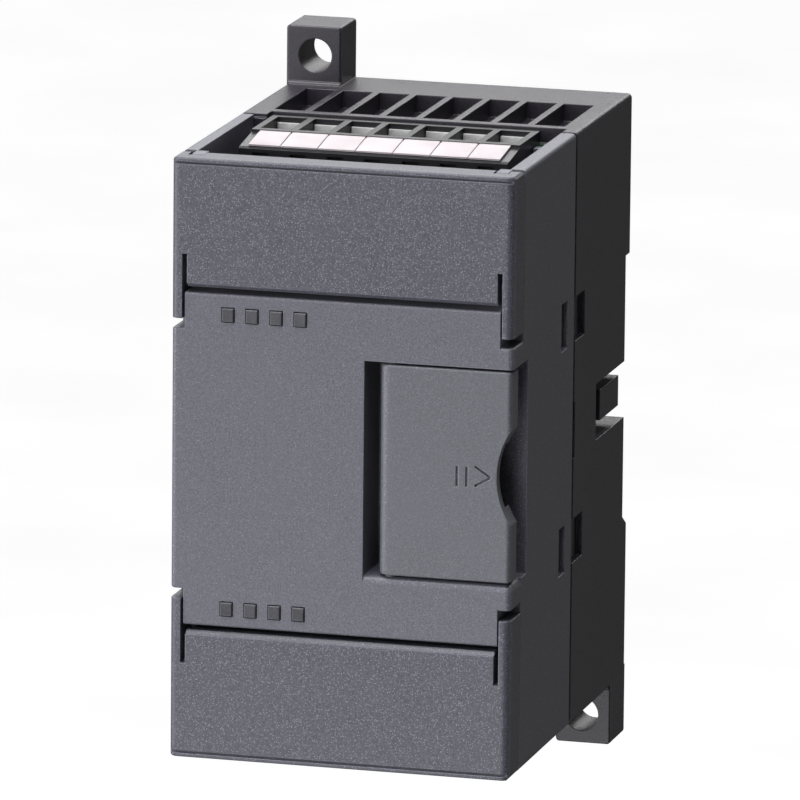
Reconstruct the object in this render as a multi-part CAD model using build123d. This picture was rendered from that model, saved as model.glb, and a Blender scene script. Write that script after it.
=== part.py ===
from build123d import *
import math
import os

# A slim controller add-on module for a 35 mm rail: front housing, rear base, two hinged terminal
# covers, a hinged door over the expansion port, two seven-pole terminal blocks and the boards inside.
# Millimetres. +Z up, +X to the right seen from the front, the front faces -Y. The origin is the
# centre of the seat that lies on the rail. Places front to back are given as depth behind the
# front face, and near() turns a depth into Y.

# ---- envelope ----
width = 46.0
height = 80.0
body_depth = 62.0
rail_recess = 2.7          # the rail seat lies this far in front of the back face
seam_depth = 31.5          # where the front housing meets the rear base
seam_groove = (0.8, 0.5)   # shadow groove along the seam, wide and deep
wall = 2.0
fit_gap = 0.15             # between parts that meet or slide

half_w = width / 2
half_h = height / 2
front_y = rail_recess - body_depth
seat_depth = body_depth - rail_recess
inner_x = half_w - wall
inner_z = half_h - wall

# ---- centre panel ----
panel_set_back = 0.3
panel_skin = 2.2
panel_z = 22.2             # half height of the centre panel between the covers
full_width_z = 17.4        # half height of its full-width part, between the cover ears
shelf = 1.6
edge_r = 0.6               # rounding of the shells' long outer edges
window_pitch = 3.25
window_size = (1.6, 1.8)   # indicator window tile, across and tall
window_gap = 0.12          # round each tile in its pocket
window_sink = 0.5          # depth of the pocket in the panel
window_proud = 0.25        # how far a tile stands out of the panel
window_x = -15.35
window_rows = (19.45, -19.75)

# ---- terminal covers ----
cover_skin = 2.2
cover_depth = 5.4
cover_edge_z = 22.9        # lower edge of the upper cover's plate
ear_width = 1.5
ear_end_z = 18.7
slit_width = 0.65
slit_top_z = 27.3
cover_top = 1.2            # thickness of the plate over the chamber's front
face_groove = (39.2, 39.45)  # fine groove above the cover's face, lower and upper edge
groove_depth = 0.4
face_edge_r = 0.18
cover_chamfer = 0.4        # along the side edges of the cover's top
hinge_from_edge = 1.5      # hinge axis from the top and rear edges of the cover's sides
hinge_pin_r = 1.0
running = 0.05             # radial play of a pin in its hole
lug_thick = 1.6
lug_r = 1.4
hinge_depth = cover_depth - hinge_from_edge
hinge_z = half_h - hinge_from_edge

# ---- expansion port and its door ----
port_left = 3.05
port_z = 0.3
port_height = 28.6
port_floor = 8.0
port_round = 1.0
door_left = 5.0
door_right = 22.8
door_height = 28.0
door_skin = 1.5
door_pin_r = 0.8
door_pin_len = 1.5
door_axis_x = door_left + door_skin
door_axis_depth = panel_set_back + door_skin
notch_chord = 12.6
notch_sagitta = 1.9
header_x = 13.3
header_size = (9.1, 20.3, 9.0)   # across, along, tall
header_cavity = (6.6, 17.9, 6.5)
pin_pitch = 2.54
pin_side = 0.64

# ---- terminals ----
poles = 7
pole_pitch = 5.08
pole_x = -16.0             # first pole
block_margin = 0.45
block_front = 17.4
block_back = 34.1
block_low = 22.4
block_top = 39.6
strip_depth = (17.9, 23.5)       # label strip, front edge and rear edge
strip_drop = 0.8
strip_thick = 0.4
strip_inset = 1.2          # bare shoulder left at each end of the strip
entry = (24.7, 32.9)             # wire entry, front and rear depth
entry_width = 4.1
clamp_room = (23.3, 32.5)        # depth range that the clamp travels in
clamp_room_z = (25.2, 34.0)
clamp_width = 3.9
clamp_z = (28.4, 33.6)
clamp_rest = 26.0                # front face of an open clamp
clamp_wall = 1.2
clamp_mouth = 4.1
clamp_back = 0.9
clamp_side = 0.45
flange_top = 38.9          # upper end of the clamp's guide flange
bar_depth = (27.65, 28.5)
screw_z = 31.0
screw_r = 1.2
screw_head_r = 1.95
screw_head = (19.6, 21.55)
screw_tip = 27.6

# ---- rear base ----
vent_count = 8
vent_pitch = 5.08
vent_mid_x = 0.45
vent_width = 4.1
vent_depth = (35.9, 51.6)
vent_floor_z = 37.6
roof_front = 34.5          # front edge of the rear base's roof, behind the terminal block
rail_top_z = 18.3
rail_low_z = -17.6
channel_z = 3.85
channel_front = 44.0
rib_depth = (47.7, 57.65)
rib_z = (-1.9, 2.25)
tab_width = 7.6
tab_height = 8.0
tab_depth = 7.8
fixing_x = 19.0
fixing_z = half_h + 4.0
fixing_r = 2.3

# ---- rail clip ----
clip_half = 6.0
clip_flange = 1.0
clip_depth = (59.2, 61.85)
clip_flange_depth = 60.3
clip_z = (-39.8, -18.2)
clip_nose_z = -16.3
rail_sheet = 1.15

# ---- boards ----
board_thick = 1.6
logic_board_depth = 17.2
main_board_depth = 34.3
logic_board_half = (20.3, 20.2)
main_board_half = (19.1, 37.6)
logic_post = (18.4, 17.8)
main_post = (15.5, 19.0)
transformer_place = (-10.0, -12.7, main_board_depth - 1.0)


def near(depth):
    """Y of a place at this depth behind the front face."""
    return front_y + depth


def slab(x0, x1, d0, d1, z0, z1):
    """Box from its limits across, in depth and in height."""
    middle = Pos((x0 + x1) / 2, near((d0 + d1) / 2), (z0 + z1) / 2)
    return middle * Box(x1 - x0, d1 - d0, z1 - z0)


def rod_y(x, z, radius, d0, d1):
    """Round bar along the depth."""
    return Pos(x, near((d0 + d1) / 2), z) * Rot(90, 0, 0) * Cylinder(radius, d1 - d0)


def rod_x(depth, z, radius, x0, x1):
    """Round bar across the module."""
    return Pos((x0 + x1) / 2, near(depth), z) * Rot(0, 90, 0) * Cylinder(radius, x1 - x0)


def rod_z(x, depth, radius, z0, z1):
    """Upright round bar."""
    return Pos(x, near(depth), (z0 + z1) / 2) * Cylinder(radius, z1 - z0)


def across(points, x0, x1):
    """Solid from an outline of (depth, z) points, drawn out across the module."""
    outline = Polyline(*[(x0, near(d), z) for d, z in points], close=True)
    return extrude(make_face(outline), amount=x1 - x0, dir=(1, 0, 0))


def upright(points, z0, z1):
    """Solid from an outline of (x, depth) points, drawn up from z0 to z1."""
    outline = Polyline(*[(x, near(d), z0) for x, d in points], close=True)
    return extrude(make_face(outline), amount=z1 - z0, dir=(0, 0, 1))


def both_sides(shape):
    """A shape and its mirror image on the other side."""
    return [shape, mirror(shape, about=Plane.YZ)]


def top_and_bottom(shape):
    """A shape and its mirror image below mid-height."""
    return [shape, mirror(shape, about=Plane.XY)]


def four_corners(shape):
    return [copy for half in both_sides(shape) for copy in top_and_bottom(half)]


def edges_at(shape, direction, x=None, depth=None, z=None):
    """Straight edges along a direction that lie at the given place."""
    found = shape.edges().filter_by(direction)
    wanted = [(0, x), (1, None if depth is None else near(depth)), (2, z)]
    for index, value in wanted:
        if value is not None:
            found = found.filter_by(lambda e: abs(tuple(e.center())[index] - value) < 0.01)
    return found


def pole_places():
    return [pole_x + k * pole_pitch for k in range(poles)]


# ---- covers and door ----

def upper_cover():
    """Terminal cover: plate with returned sides, spring ears beside the panel, and hinge pins."""
    body = slab(-half_w, half_w, 0, cover_depth, ear_end_z, half_h)
    body = chamfer(edges_at(body, Axis.Y, z=half_h), cover_chamfer)
    body = fillet(edges_at(body, Axis.Z, depth=0), 1.1)
    body = fillet(edges_at(body, Axis.X, depth=cover_depth, z=half_h), hinge_from_edge - 0.01)
    body = fillet(edges_at(body, Axis.X, depth=0, z=half_h), 0.3)
    body -= slab(-half_w, half_w, -1, groove_depth, *face_groove)
    body = fillet(edges_at(body, Axis.X, depth=0, z=face_groove[0]), face_edge_r)
    ear_x = half_w - ear_width
    body -= slab(-ear_x, ear_x, cover_skin, body_depth, 0, half_h - cover_top)
    lug_notch = slab(ear_x - lug_thick - 3 * fit_gap, ear_x, cover_skin, body_depth, 0, half_h + 1)
    for cut in both_sides(lug_notch):
        body -= cut
    body -= slab(-ear_x, ear_x, -1, body_depth, 0, cover_edge_z)
    body -= across([(-1, cover_edge_z - 1), (0.7, cover_edge_z - 1), (0.7, cover_edge_z),
                    (0.25, cover_edge_z + 0.5), (-1, cover_edge_z + 0.5)], -ear_x, ear_x)
    slit = slab(ear_x - slit_width, ear_x, -1, cover_depth, 0, slit_top_z)
    for cut in both_sides(slit):
        body -= cut
    pin = rod_x(hinge_depth, hinge_z, hinge_pin_r, ear_x - fit_gap * 2 - lug_thick + 0.1, ear_x + 0.5)
    bead = rod_x(cover_depth / 2, ear_end_z + 1.5, 0.6, ear_x - 0.2, ear_x + 0.5)
    return body + both_sides(pin) + both_sides(bead)


def lower_cover():
    return mirror(upper_cover(), about=Plane.XY)


def port_door():
    """Door over the expansion port, with a rolled hinge edge, end pins and a finger notch."""
    low, high = port_z - door_height / 2, port_z + door_height / 2
    back = door_axis_depth + door_skin
    plate = slab(door_axis_x, door_right, panel_set_back, door_axis_depth, low, high)
    lip_body = slab(door_right - 1.1, door_right, panel_set_back, 3.6, low, high)
    body = plate + lip_body + rod_z(door_axis_x, door_axis_depth, door_skin, low, high)
    corners = body.edges().filter_by(Axis.Z)
    corners = corners.filter_by(lambda e: abs(e.center().X - door_right) < 0.01)
    body = fillet(corners.filter_by(lambda e: e.center().Y < near(1.0)), 0.6)
    ends = edges_at(body, Axis.X, depth=panel_set_back)
    body = fillet(ends, 0.35)
    notch_r = (notch_chord ** 2 / 4 + notch_sagitta ** 2) / (2 * notch_sagitta)
    notch_x = door_right - notch_sagitta + notch_r
    body -= Pos(notch_x, near(back / 2), port_z) * Rot(90, 0, 0) * Cylinder(notch_r, back * 2)
    for bar_x in (15.6, 16.9):
        body -= slab(bar_x - 0.16, bar_x + 0.16, 0, panel_set_back + 0.35, port_z - 1.5, port_z + 1.2)
    tip = Vector(20.1, near(panel_set_back), port_z - 0.05)
    for side in (1, -1):
        tail = Vector(18.0, near(panel_set_back), port_z + side * 1.3)
        line = tip - tail
        groove = Box(line.length, 0.7, 0.32)
        lean = math.degrees(math.atan2(line.Z, line.X))
        body -= Location((tip + tail) * 0.5) * Rot(0, -lean, 0) * groove
    pin = rod_z(door_axis_x, door_axis_depth, door_pin_r, high - 0.5, high + door_pin_len)
    low_pin = rod_z(door_axis_x, door_axis_depth, door_pin_r, low - door_pin_len, low + 0.5)
    return body + pin + low_pin


# ---- front housing ----

def centre_panel():
    """Front skin between the covers with the port recess and the eight indicator windows."""
    skin_end = panel_set_back + panel_skin
    low, high = port_z - port_height / 2, port_z + port_height / 2
    wide = slab(-half_w, half_w, panel_set_back, cover_depth + 1, -full_width_z, full_width_z)
    wide = fillet(edges_at(wide, Axis.Z, depth=panel_set_back), 0.8)
    wide = fillet(edges_at(wide, Axis.X, depth=panel_set_back), 0.3)
    ear_side = half_w - ear_width - 0.3
    tall = slab(-ear_side, ear_side, panel_set_back, cover_depth + 1, -panel_z, panel_z)
    tall = fillet(edges_at(tall, Axis.X, depth=panel_set_back), 0.45)
    panel = wide + tall
    panel -= slab(-inner_x, inner_x, skin_end, body_depth, -full_width_z, full_width_z)
    panel -= slab(-ear_side + wall, ear_side - wall, skin_end, body_depth, -panel_z + shelf, panel_z - shelf)
    panel -= slab(port_left, half_w + 1, -1, cover_depth + fit_gap, low, high)
    port_edge = edges_at(panel, Axis.X, depth=panel_set_back, z=low)
    panel = fillet(port_edge, port_round)
    for row_z in window_rows:
        for k in range(4):
            x = window_x + k * window_pitch
            half_x, half_z = window_size[0] / 2 + window_gap, window_size[1] / 2 + window_gap
            panel -= slab(x - half_x, x + half_x, 0, panel_set_back + window_sink,
                          row_z - half_z, row_z + half_z)
    pipe = slab(window_x - 0.6, window_x + 0.6, 0, 5, window_rows[0] - 0.6, window_rows[0] + 0.6)
    return panel - pipe


def window_tile(x, z):
    """Smoked tile of one indicator window, standing a little out of the panel."""
    half_x, half_z = window_size[0] / 2, window_size[1] / 2
    front = panel_set_back - window_proud
    tile = slab(x - half_x, x + half_x, front, panel_set_back + window_sink, z - half_z, z + half_z)
    return fillet(tile.faces().sort_by(Axis.Y)[0].edges(), 0.15)


def port_pocket():
    """Box behind the door that holds the mouth of the expansion header, open to the right side."""
    low, high = port_z - port_height / 2, port_z + port_height / 2
    outer = slab(port_left - 1.6, inner_x + 0.2, panel_set_back + 1, port_floor + 1.6, low - 1.6, high + 1.6)
    inner = slab(port_left, half_w, -1, port_floor, low, high)
    mouth_x, mouth_z = header_size[0] / 2 + 0.2, header_size[1] / 2 + 0.2
    mouth = slab(header_x - mouth_x, header_x + mouth_x, 0, 20, port_z - mouth_z, port_z + mouth_z)
    return outer, inner, mouth


def hinge_lug():
    """Upper right lug that carries one cover pin, standing on the side wall."""
    x1 = half_w - ear_width - 2 * fit_gap
    x0 = x1 - lug_thick
    arm = slab(x0, x1, hinge_depth, 10.0, hinge_z - lug_r, hinge_z + lug_r)
    root = slab(x1 - 0.5, inner_x + 0.5, cover_depth + 0.6, 10.0, hinge_z - lug_r, hinge_z + lug_r)
    lug = arm + rod_x(hinge_depth, hinge_z, lug_r, x0, x1) + root
    lug -= across([(cover_depth + 0.3, half_h + 1), (cover_depth + 0.3, hinge_z + lug_r - 0.4),
                   (10.1, hinge_z - lug_r + 0.4), (10.1, half_h + 1)], x0 - 1, inner_x)
    return lug - rod_x(hinge_depth, hinge_z, hinge_pin_r + running, x0 - 1, x1 + 1)


def front_housing():
    """Front shell: centre panel, side walls, the two wire chambers and the snap windows."""
    side = slab(inner_x, half_w, cover_depth + fit_gap, seam_depth, -half_h, half_h)
    side = fillet(edges_at(side, Axis.Y, x=half_w), edge_r)
    body = centre_panel() + both_sides(side)
    floor = slab(-inner_x - 0.1, inner_x + 0.1, panel_set_back + 2.0, seam_depth, panel_z - shelf, panel_z)
    ear_side = half_w - ear_width - 0.3
    floor -= [slab(ear_side, half_w, 0, cover_depth + fit_gap, 0, half_h),
              slab(-half_w, -ear_side, 0, cover_depth + fit_gap, 0, half_h)]
    chamber_back = slab(-inner_x - 0.1, inner_x + 0.1, seam_depth - 1.5, seam_depth,
                        panel_z - 0.5, half_h - 2)
    x0, x1 = block_limits()
    chamber_back -= slab(x0 - fit_gap, x1 + fit_gap, 0, 40, block_low - fit_gap, half_h)
    body += top_and_bottom(floor) + top_and_bottom(chamber_back)
    outer, inner, mouth = port_pocket()
    body = body + outer - inner - mouth
    low, high = port_z - port_height / 2, port_z + port_height / 2
    for z0, z1 in ((low - door_pin_len - fit_gap, low + 1), (high - 1, high + door_pin_len + fit_gap)):
        body -= rod_z(door_axis_x, door_axis_depth, door_pin_r + running, z0, z1)
    body += four_corners(hinge_lug())
    x, z = logic_post
    for post in four_corners(rod_y(x, z, 1.8, panel_set_back + 1.5, logic_board_depth - 0.1)
                             + rod_y(x, z, 0.9, 5, logic_board_depth + board_thick + 0.8)):
        body += post
    window = slab(inner_x - 1, half_w + 1, 24.95, 28.2, 11.9, 18.35)
    body -= four_corners(window)
    cable_slot = slab(-half_w - 1, -inner_x + 1, 12.4, 14.4, -7.0, 7.0)
    return body - cable_slot


# ---- rear base ----

def vent_bank():
    """Row of deep vent slots in the roof, each with a narrower slit through its floor."""
    cuts = []
    first = vent_mid_x - (vent_count - 1) / 2 * vent_pitch
    for k in range(vent_count):
        x = first + k * vent_pitch
        half = vent_width / 2
        cuts.append(slab(x - half, x + half, vent_depth[0], vent_depth[1], vent_floor_z, half_h + 1))
        cuts.append(slab(x - 0.8, x + 0.8, vent_depth[0] + 4, vent_depth[1] - 3, 20, vent_floor_z + 1))
    return cuts


def fixing_tab():
    """Upper left tab with its screw hole and the small root radius at the front."""
    tab = slab(-half_w, -half_w + tab_width, body_depth - tab_depth, body_depth,
               half_h - 1.5, half_h + tab_height)
    tab = fillet(edges_at(tab, Axis.Y, z=half_h + tab_height), 0.5)
    tab = fillet(edges_at(tab, Axis.X, z=half_h + tab_height), 0.3)
    root = rod_x(body_depth - tab_depth, half_h, 0.45, -half_w + 0.3, -half_w + tab_width)
    return tab + root


def snap_tongue():
    """Upper right tongue whose barb catches in a window of the front housing."""
    x1 = inner_x - fit_gap
    tongue = slab(x1 - 1.5, x1, 25.3, seam_depth + 4.5, 12.3, 18.0)
    root = slab(x1 - 0.5, inner_x + 0.5, seam_depth + 0.1, seam_depth + 4.5, 12.3, 18.0)
    barb = upright([(x1 - 0.2, 25.3), (x1, 25.3), (half_w - 0.6, 27.4), (half_w - 0.6, 27.95),
                    (x1 - 0.2, 27.95)], 12.5, 17.8)
    return tongue + root + barb


def clip_guide():
    """Boss on the lower back wall with the T-shaped way that the rail clip slides in."""
    boss = slab(-9.0, 9.0, 56.8, body_depth, -half_h, rail_low_z - 1.4)
    reach = clip_half + fit_gap
    way = slab(-reach, reach, clip_depth[0] - fit_gap, body_depth + 1, -half_h - 1, rail_low_z + 1)
    flange_reach = reach + clip_flange
    groove = slab(-flange_reach, flange_reach, clip_depth[0] - fit_gap, clip_flange_depth + fit_gap,
                  -half_h - 1, clip_z[1] - 0.4)
    return boss, way + groove


def rear_base():
    """Rear shell: rail seat, vents, fixing tabs, snap tongues, board posts and clip guide."""
    body = slab(-half_w, half_w, seam_depth + 0.05, body_depth, -half_h, half_h)
    body = fillet(edges_at(body, Axis.Z, depth=body_depth), 0.7)
    body = fillet(edges_at(body, Axis.Y), edge_r)
    groove_end = seam_depth + seam_groove[0]
    inset_x, inset_z = half_w - seam_groove[1], half_h - seam_groove[1]
    collar = slab(-half_w - 1, half_w + 1, 0, groove_end, -half_h - 1, half_h + 1)
    body -= collar - slab(-inset_x, inset_x, -1, groove_end + 1, -inset_z, inset_z)
    body -= slab(-inner_x, inner_x, 0, seat_depth - wall, -inner_z, inner_z)
    for z0, z1 in ((rail_top_z + wall, inner_z), (-inner_z, rail_low_z - 3.2)):
        body -= slab(-inner_x, inner_x, 50, body_depth - wall, z0, z1)
    body += slab(-inner_x - 0.1, inner_x + 0.1, 36.3, vent_depth[1] + 1.5, vent_floor_z - 1.5, inner_z + 0.5)
    body += slab(-inner_x - 0.1, inner_x + 0.1, channel_front - 1.5, seat_depth - 1,
                 -channel_z - 1.5, channel_z + 1.5)
    boss, way = clip_guide()
    body += boss
    body -= across([(seat_depth, rail_low_z), (seat_depth + 2.3, rail_low_z - 1.4),
                    (body_depth + 1, rail_low_z - 1.4), (body_depth + 1, rail_top_z),
                    (seat_depth, rail_top_z)], -half_w - 1, half_w + 1)
    body -= way
    hook = across([(seat_depth + rail_sheet, rail_top_z + 0.5), (body_depth - 0.05, rail_top_z + 0.5),
                   (body_depth - 0.05, rail_top_z - 1.5), (seat_depth + rail_sheet + 0.6, rail_top_z - 2.0),
                   (seat_depth + rail_sheet, rail_top_z - 2.0)], 8, 18)
    body += both_sides(hook)
    body -= slab(-half_w - 1, half_w + 1, channel_front, body_depth, -channel_z, channel_z)
    body += slab(-half_w + 0.4, half_w - 0.4, rib_depth[0], rib_depth[1], rib_z[0], rib_z[1])
    body += slab(-16, 16, channel_front - 0.5, rib_depth[0] + 0.5, rib_z[0] + 1, rib_z[1] - 1)
    body -= vent_bank()
    for cut in top_and_bottom(terminal_gap()):
        body -= cut
    tab = fixing_tab()
    body += [tab, tab.rotate(Axis.Y, 180)]
    hole = rod_y(-fixing_x, fixing_z, fixing_r, 40, body_depth + 1)
    body -= [hole, hole.rotate(Axis.Y, 180)]
    body += four_corners(snap_tongue())
    lip_tongue = slab(inner_x - 1.05, inner_x - fit_gap, 28.6, seam_depth + 2, -9.0, 9.0)
    lip_root = slab(inner_x - 0.6, inner_x + 0.5, seam_depth + 0.1, seam_depth + 2, -9.0, 9.0)
    body += both_sides(lip_tongue + lip_root)
    relief = slab(half_w - 0.8, half_w + 1, seam_depth, 37.4, 12.0, 18.0)
    body -= four_corners(relief)
    body -= both_sides(slab(half_w - 1.0, half_w + 1, seam_depth, seam_depth + 1.3, -3.8, 3.75))
    return body + main_board_posts()


def terminal_gap():
    """Opening in the roof for the terminal block, stopping short of the side walls."""
    x0, x1 = block_limits()
    return slab(x0 - 0.4, inner_x, 0, roof_front, 25, half_h + 1)


def main_board_posts():
    x, z = main_post
    rear = main_board_depth + board_thick + 0.1
    post = rod_y(x, z, 2.4, rear, seat_depth - 1)
    return four_corners(post + rod_y(x, z, 1.1, main_board_depth - 1.2, rear + 1))


def rail_clip():
    """Sliding clip under the rail seat: its nose holds the rail's lower edge."""
    low, high = clip_z
    back = clip_depth[1]
    plate = slab(-clip_half, clip_half, clip_depth[0], back, low, high)
    reach = clip_half + clip_flange
    flange = slab(-reach, reach, clip_depth[0], clip_flange_depth, low, high - 0.5)
    nose = across([(seat_depth + rail_sheet, high - 0.5), (back, high - 0.5), (back, clip_nose_z - 0.9),
                   (seat_depth + rail_sheet + 0.3, clip_nose_z), (seat_depth + rail_sheet, clip_nose_z)],
                  -clip_half, clip_half)
    pry_slot = slab(-2.6, 2.6, clip_depth[0] - 1, back + 1, low + 1.2, low + 2.8)
    grip = [slab(-4.5, 4.5, back - 0.4, back + 1, low + 5 + 1.6 * k, low + 5.8 + 1.6 * k) for k in range(4)]
    return plate + flange + nose - pry_slot - grip


# ---- terminals ----

def block_limits():
    """Left and right ends of a terminal block."""
    half_pole = pole_pitch / 2 + block_margin
    return pole_x - half_pole, pole_x + (poles - 1) * pole_pitch + half_pole


def terminal_body():
    """Upper terminal block: wire entries, clamp rooms, screw holes and the seat of the label strip."""
    x0, x1 = block_limits()
    front, rear = strip_depth
    body = across([(block_front, block_low), (block_back, block_low), (block_back, block_top),
                   (rear, block_top), (rear, block_top - strip_thick),
                   (front, block_top - strip_drop - strip_thick), (block_front, block_top - strip_drop - 0.6)],
                  x0, x1)
    for x in pole_places():
        half = entry_width / 2
        body -= slab(x - half, x + half, entry[0], entry[1], clamp_room_z[1] - 1, block_top + 1)
        body -= slab(x - half, x + half, clamp_room[0], clamp_room[1], clamp_room_z[0], clamp_room_z[1])
        body -= rod_y(x, screw_z, screw_head_r + 0.15, block_front - 1, screw_head[1] + 0.05)
        body -= rod_y(x, screw_z, screw_r + 0.1, block_front, clamp_room[0] + 1)
        body -= slab(x - 0.6, x + 0.6, clamp_room[0] + 1, block_back + 1, 25.2, 26.6)
        body -= slab(x - 1.1, x + 1.1, block_front - 1, block_front + 0.8, 36.8, 37.7)
    return body


def label_strip():
    """Blank marking strip in seven fields, lying on the sloped shoulder of the upper block."""
    x0, x1 = block_limits()
    front, rear = strip_depth
    low = block_top - strip_drop
    strip = across([(front, low - strip_thick), (rear, block_top - strip_thick), (rear, block_top),
                    (front, low)], x0 + strip_inset, x1 - strip_inset)
    for x in pole_places()[1:]:
        line = x - pole_pitch / 2
        slope = across([(front - 1, low - 0.2), (rear + 1, block_top - 0.05), (rear + 1, block_top + 1),
                        (front - 1, block_top + 1)], line - 0.06, line + 0.06)
        strip -= slope
    return strip


def contact(x):
    """Fixed bar inside the clamp and the pin that carries it through the main board."""
    bar = slab(x - 1.4, x + 1.4, bar_depth[0], bar_depth[1], 25.35, 35.0)
    pin = slab(x - 0.5, x + 0.5, bar_depth[1] - 0.3, main_board_depth + board_thick + 1.4, 25.35, 26.35)
    return bar + pin


def clamp(x):
    """Screw clamp: a ring round the contact bar with a guide flange up the back of the entry."""
    half = clamp_width / 2
    front = clamp_rest
    mouth = (front + clamp_wall, front + clamp_wall + clamp_mouth)
    rear = mouth[1] + clamp_back
    ring = slab(x - half, x + half, front, rear, clamp_z[0], clamp_z[1])
    side = half - clamp_side
    ring -= slab(x - side, x + side, mouth[0], mouth[1], clamp_z[0] - 1, clamp_z[1] + 1)
    ring -= rod_y(x, screw_z, screw_r + running, front - 1, mouth[0] + 1)
    flange = across([(mouth[1] + 0.3, clamp_z[1] - 0.2), (rear, clamp_z[1] - 0.2),
                     (entry[1] - 0.15, flange_top), (entry[1] - 0.6, flange_top)], x - half, x + half)
    return ring + flange


def clamp_screw(x):
    """Terminal screw with a combined slot and cross recess."""
    d0, d1 = screw_head
    head = rod_y(x, screw_z, screw_head_r, d0, d1)
    rim = [e for e in head.edges() if e.center().Y < near(d0 + 0.1)]
    head = fillet(rim, 0.3)
    body = head + rod_y(x, screw_z, screw_r, d1 - 0.1, screw_tip)
    body -= slab(x - 3, x + 3, d0 - 1, d0 + 0.9, screw_z - 0.35, screw_z + 0.35)
    return body - slab(x - 0.35, x + 0.35, d0 - 1, d0 + 0.9, screw_z - 1.2, screw_z + 1.2)


# ---- boards and what they carry ----

def logic_board():
    """Front board behind the panel, for the logic, the status light and the expansion header."""
    x, z = logic_board_half
    board = slab(-x, x, logic_board_depth, logic_board_depth + board_thick, -z, z)
    px, pz = logic_post
    board -= four_corners(rod_y(px, pz, 1.0, 0, 40))
    for pin in header_pins(0.12):
        board -= pin
    return board - stacker_pins(0.12)


def main_board():
    """Rear board that carries the terminals, the supply and the output stage."""
    x, z = main_board_half
    board = slab(-x, x, main_board_depth, main_board_depth + board_thick, -z, z)
    px, pz = main_post
    board -= four_corners(rod_y(px, pz, 1.25, 0, 50))
    for x in pole_places():
        board -= top_and_bottom(slab(x - 0.6, x + 0.6, 30, 40, 25.2, 26.5))
    return board - stacker_pins(0.12)


def header_body():
    """Shrouded ten-way box header of the expansion port, with its key slot."""
    across_x, along_z, tall = header_size
    d1 = logic_board_depth
    d0 = d1 - tall
    body = slab(header_x - across_x / 2, header_x + across_x / 2, d0, d1,
                port_z - along_z / 2, port_z + along_z / 2)
    cx, cz, deep = header_cavity
    body -= slab(header_x - cx / 2, header_x + cx / 2, d0 - 1, d0 + deep, port_z - cz / 2, port_z + cz / 2)
    body -= slab(header_x - across_x, header_x, d0 - 1, d0 + deep, port_z - 2.2, port_z + 2.2)
    for pin in header_pins(0.0):
        body -= pin
    return body


def header_pins(extra):
    """Two rows of five square pins; extra widens them into holes."""
    half = pin_side / 2 + extra
    pins = []
    for side in (-1, 1):
        for k in range(-2, 3):
            x, z = header_x + side * pin_pitch / 2, port_z + k * pin_pitch
            pins.append(slab(x - half, x + half, 9.6, 20.6, z - half, z + half))
    return pins


def stacker_places():
    return [(side * pin_pitch / 2, (k - 3.5) * pin_pitch) for side in (-1, 1) for k in range(8)]


def stacker_pins(extra):
    """Square pins that join the two boards; extra widens them into holes."""
    half = pin_side / 2 + extra
    return [slab(x - half, x + half, logic_board_depth - 1.0, main_board_depth + board_thick + 1.2,
                 z - half, z + half) for x, z in stacker_places()]


def board_stacker():
    """Insulating body of the board-to-board connector."""
    body = slab(-2.5, 2.5, logic_board_depth + board_thick, main_board_depth, -10.2, 10.2)
    return body - stacker_pins(0.0)


def cable_header():
    """Low header beside the left wall for the ribbon cable that joins the module before it."""
    body = slab(-20.2, -14.8, 11.6, logic_board_depth, -8.0, 8.0)
    return body - slab(-21, -16.0, 12.6, 14.2, -6.6, 6.6)


def light_pipe():
    """Clear rod that brings the status light to the first window."""
    half = 0.55
    z = window_rows[0]
    front = panel_set_back + window_sink + 0.05
    rod = slab(window_x - half, window_x + half, front, 15.6, z - half, z + half)
    return rod + slab(window_x - 0.95, window_x + 0.95, panel_set_back + panel_skin + 0.1, 4.0,
                      z - 0.95, z + 0.95)


def status_light():
    z = window_rows[0]
    lamp = slab(window_x - 0.8, window_x + 0.8, 16.4, logic_board_depth, z - 0.6, z + 0.6)
    return lamp + rod_y(window_x, z, 0.5, 15.9, 16.5)


def chip(x, z, size_x, size_z, tall, board_depth):
    """Moulded chip body with a pin-one dimple, standing on the front of a board."""
    d0 = board_depth - tall
    body = slab(x - size_x / 2, x + size_x / 2, d0, board_depth - 0.1, z - size_z / 2, z + size_z / 2)
    return body - rod_y(x - size_x / 2 + 1.1, z + size_z / 2 - 1.1, 0.4, d0 - 1, d0 + 0.2)


def leads(x, z, size_x, size_z, board_depth, count, pitch):
    """Bent legs in two rows, left and right of a chip."""
    rows = []
    for side in (-1, 1):
        edge = x + side * size_x / 2
        for k in range(count):
            leg_z = z + (k - (count - 1) / 2) * pitch
            outer = edge + side * 1.0
            rows.append(slab(min(edge, outer), max(edge, outer), board_depth - 0.22, board_depth,
                             leg_z - 0.2, leg_z + 0.2))
    return rows


def transformer_core():
    """Ferrite core of the supply transformer: two plates joined by three legs."""
    x, z, d1 = transformer_place
    body = slab(x - 6.5, x + 6.5, d1 - 9.0, d1, z - 6.0, z + 6.0)
    gap = slab(x + 1.7, x + 4.9, d1 - 10, d1 + 1, z - 4.4, z + 4.4)
    return body - gap - gap.moved(Location((-6.6, 0, 0)))


def transformer_winding():
    """Winding round the middle leg, filling both windows of the core."""
    x, z, d1 = transformer_place
    ring = slab(x - 4.7, x + 4.7, d1 - 10.5, d1 + 0.9, z - 4.2, z + 4.2)
    core = slab(x - 1.85, x + 1.85, d1 - 9.1, d1 + 0.1, z - 7, z + 7)
    plates = slab(x - 8, x - 4.75, d1 - 12, d1 + 2, z - 7, z + 7)
    return ring - core - plates


def capacitors():
    """Round filter capacitors with the crimp groove near the board."""
    cans = []
    for x, z in ((7.2, -14.5), (15.0, -9.0), (7.2, -4.5)):
        can = rod_y(x, z, 4.0, main_board_depth - 12.0, main_board_depth)
        groove = rod_y(x, z, 5.0, main_board_depth - 2.6, main_board_depth - 2.0)
        cans.append(can - (groove - rod_y(x, z, 3.7, main_board_depth - 3, main_board_depth)))
    return cans


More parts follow.
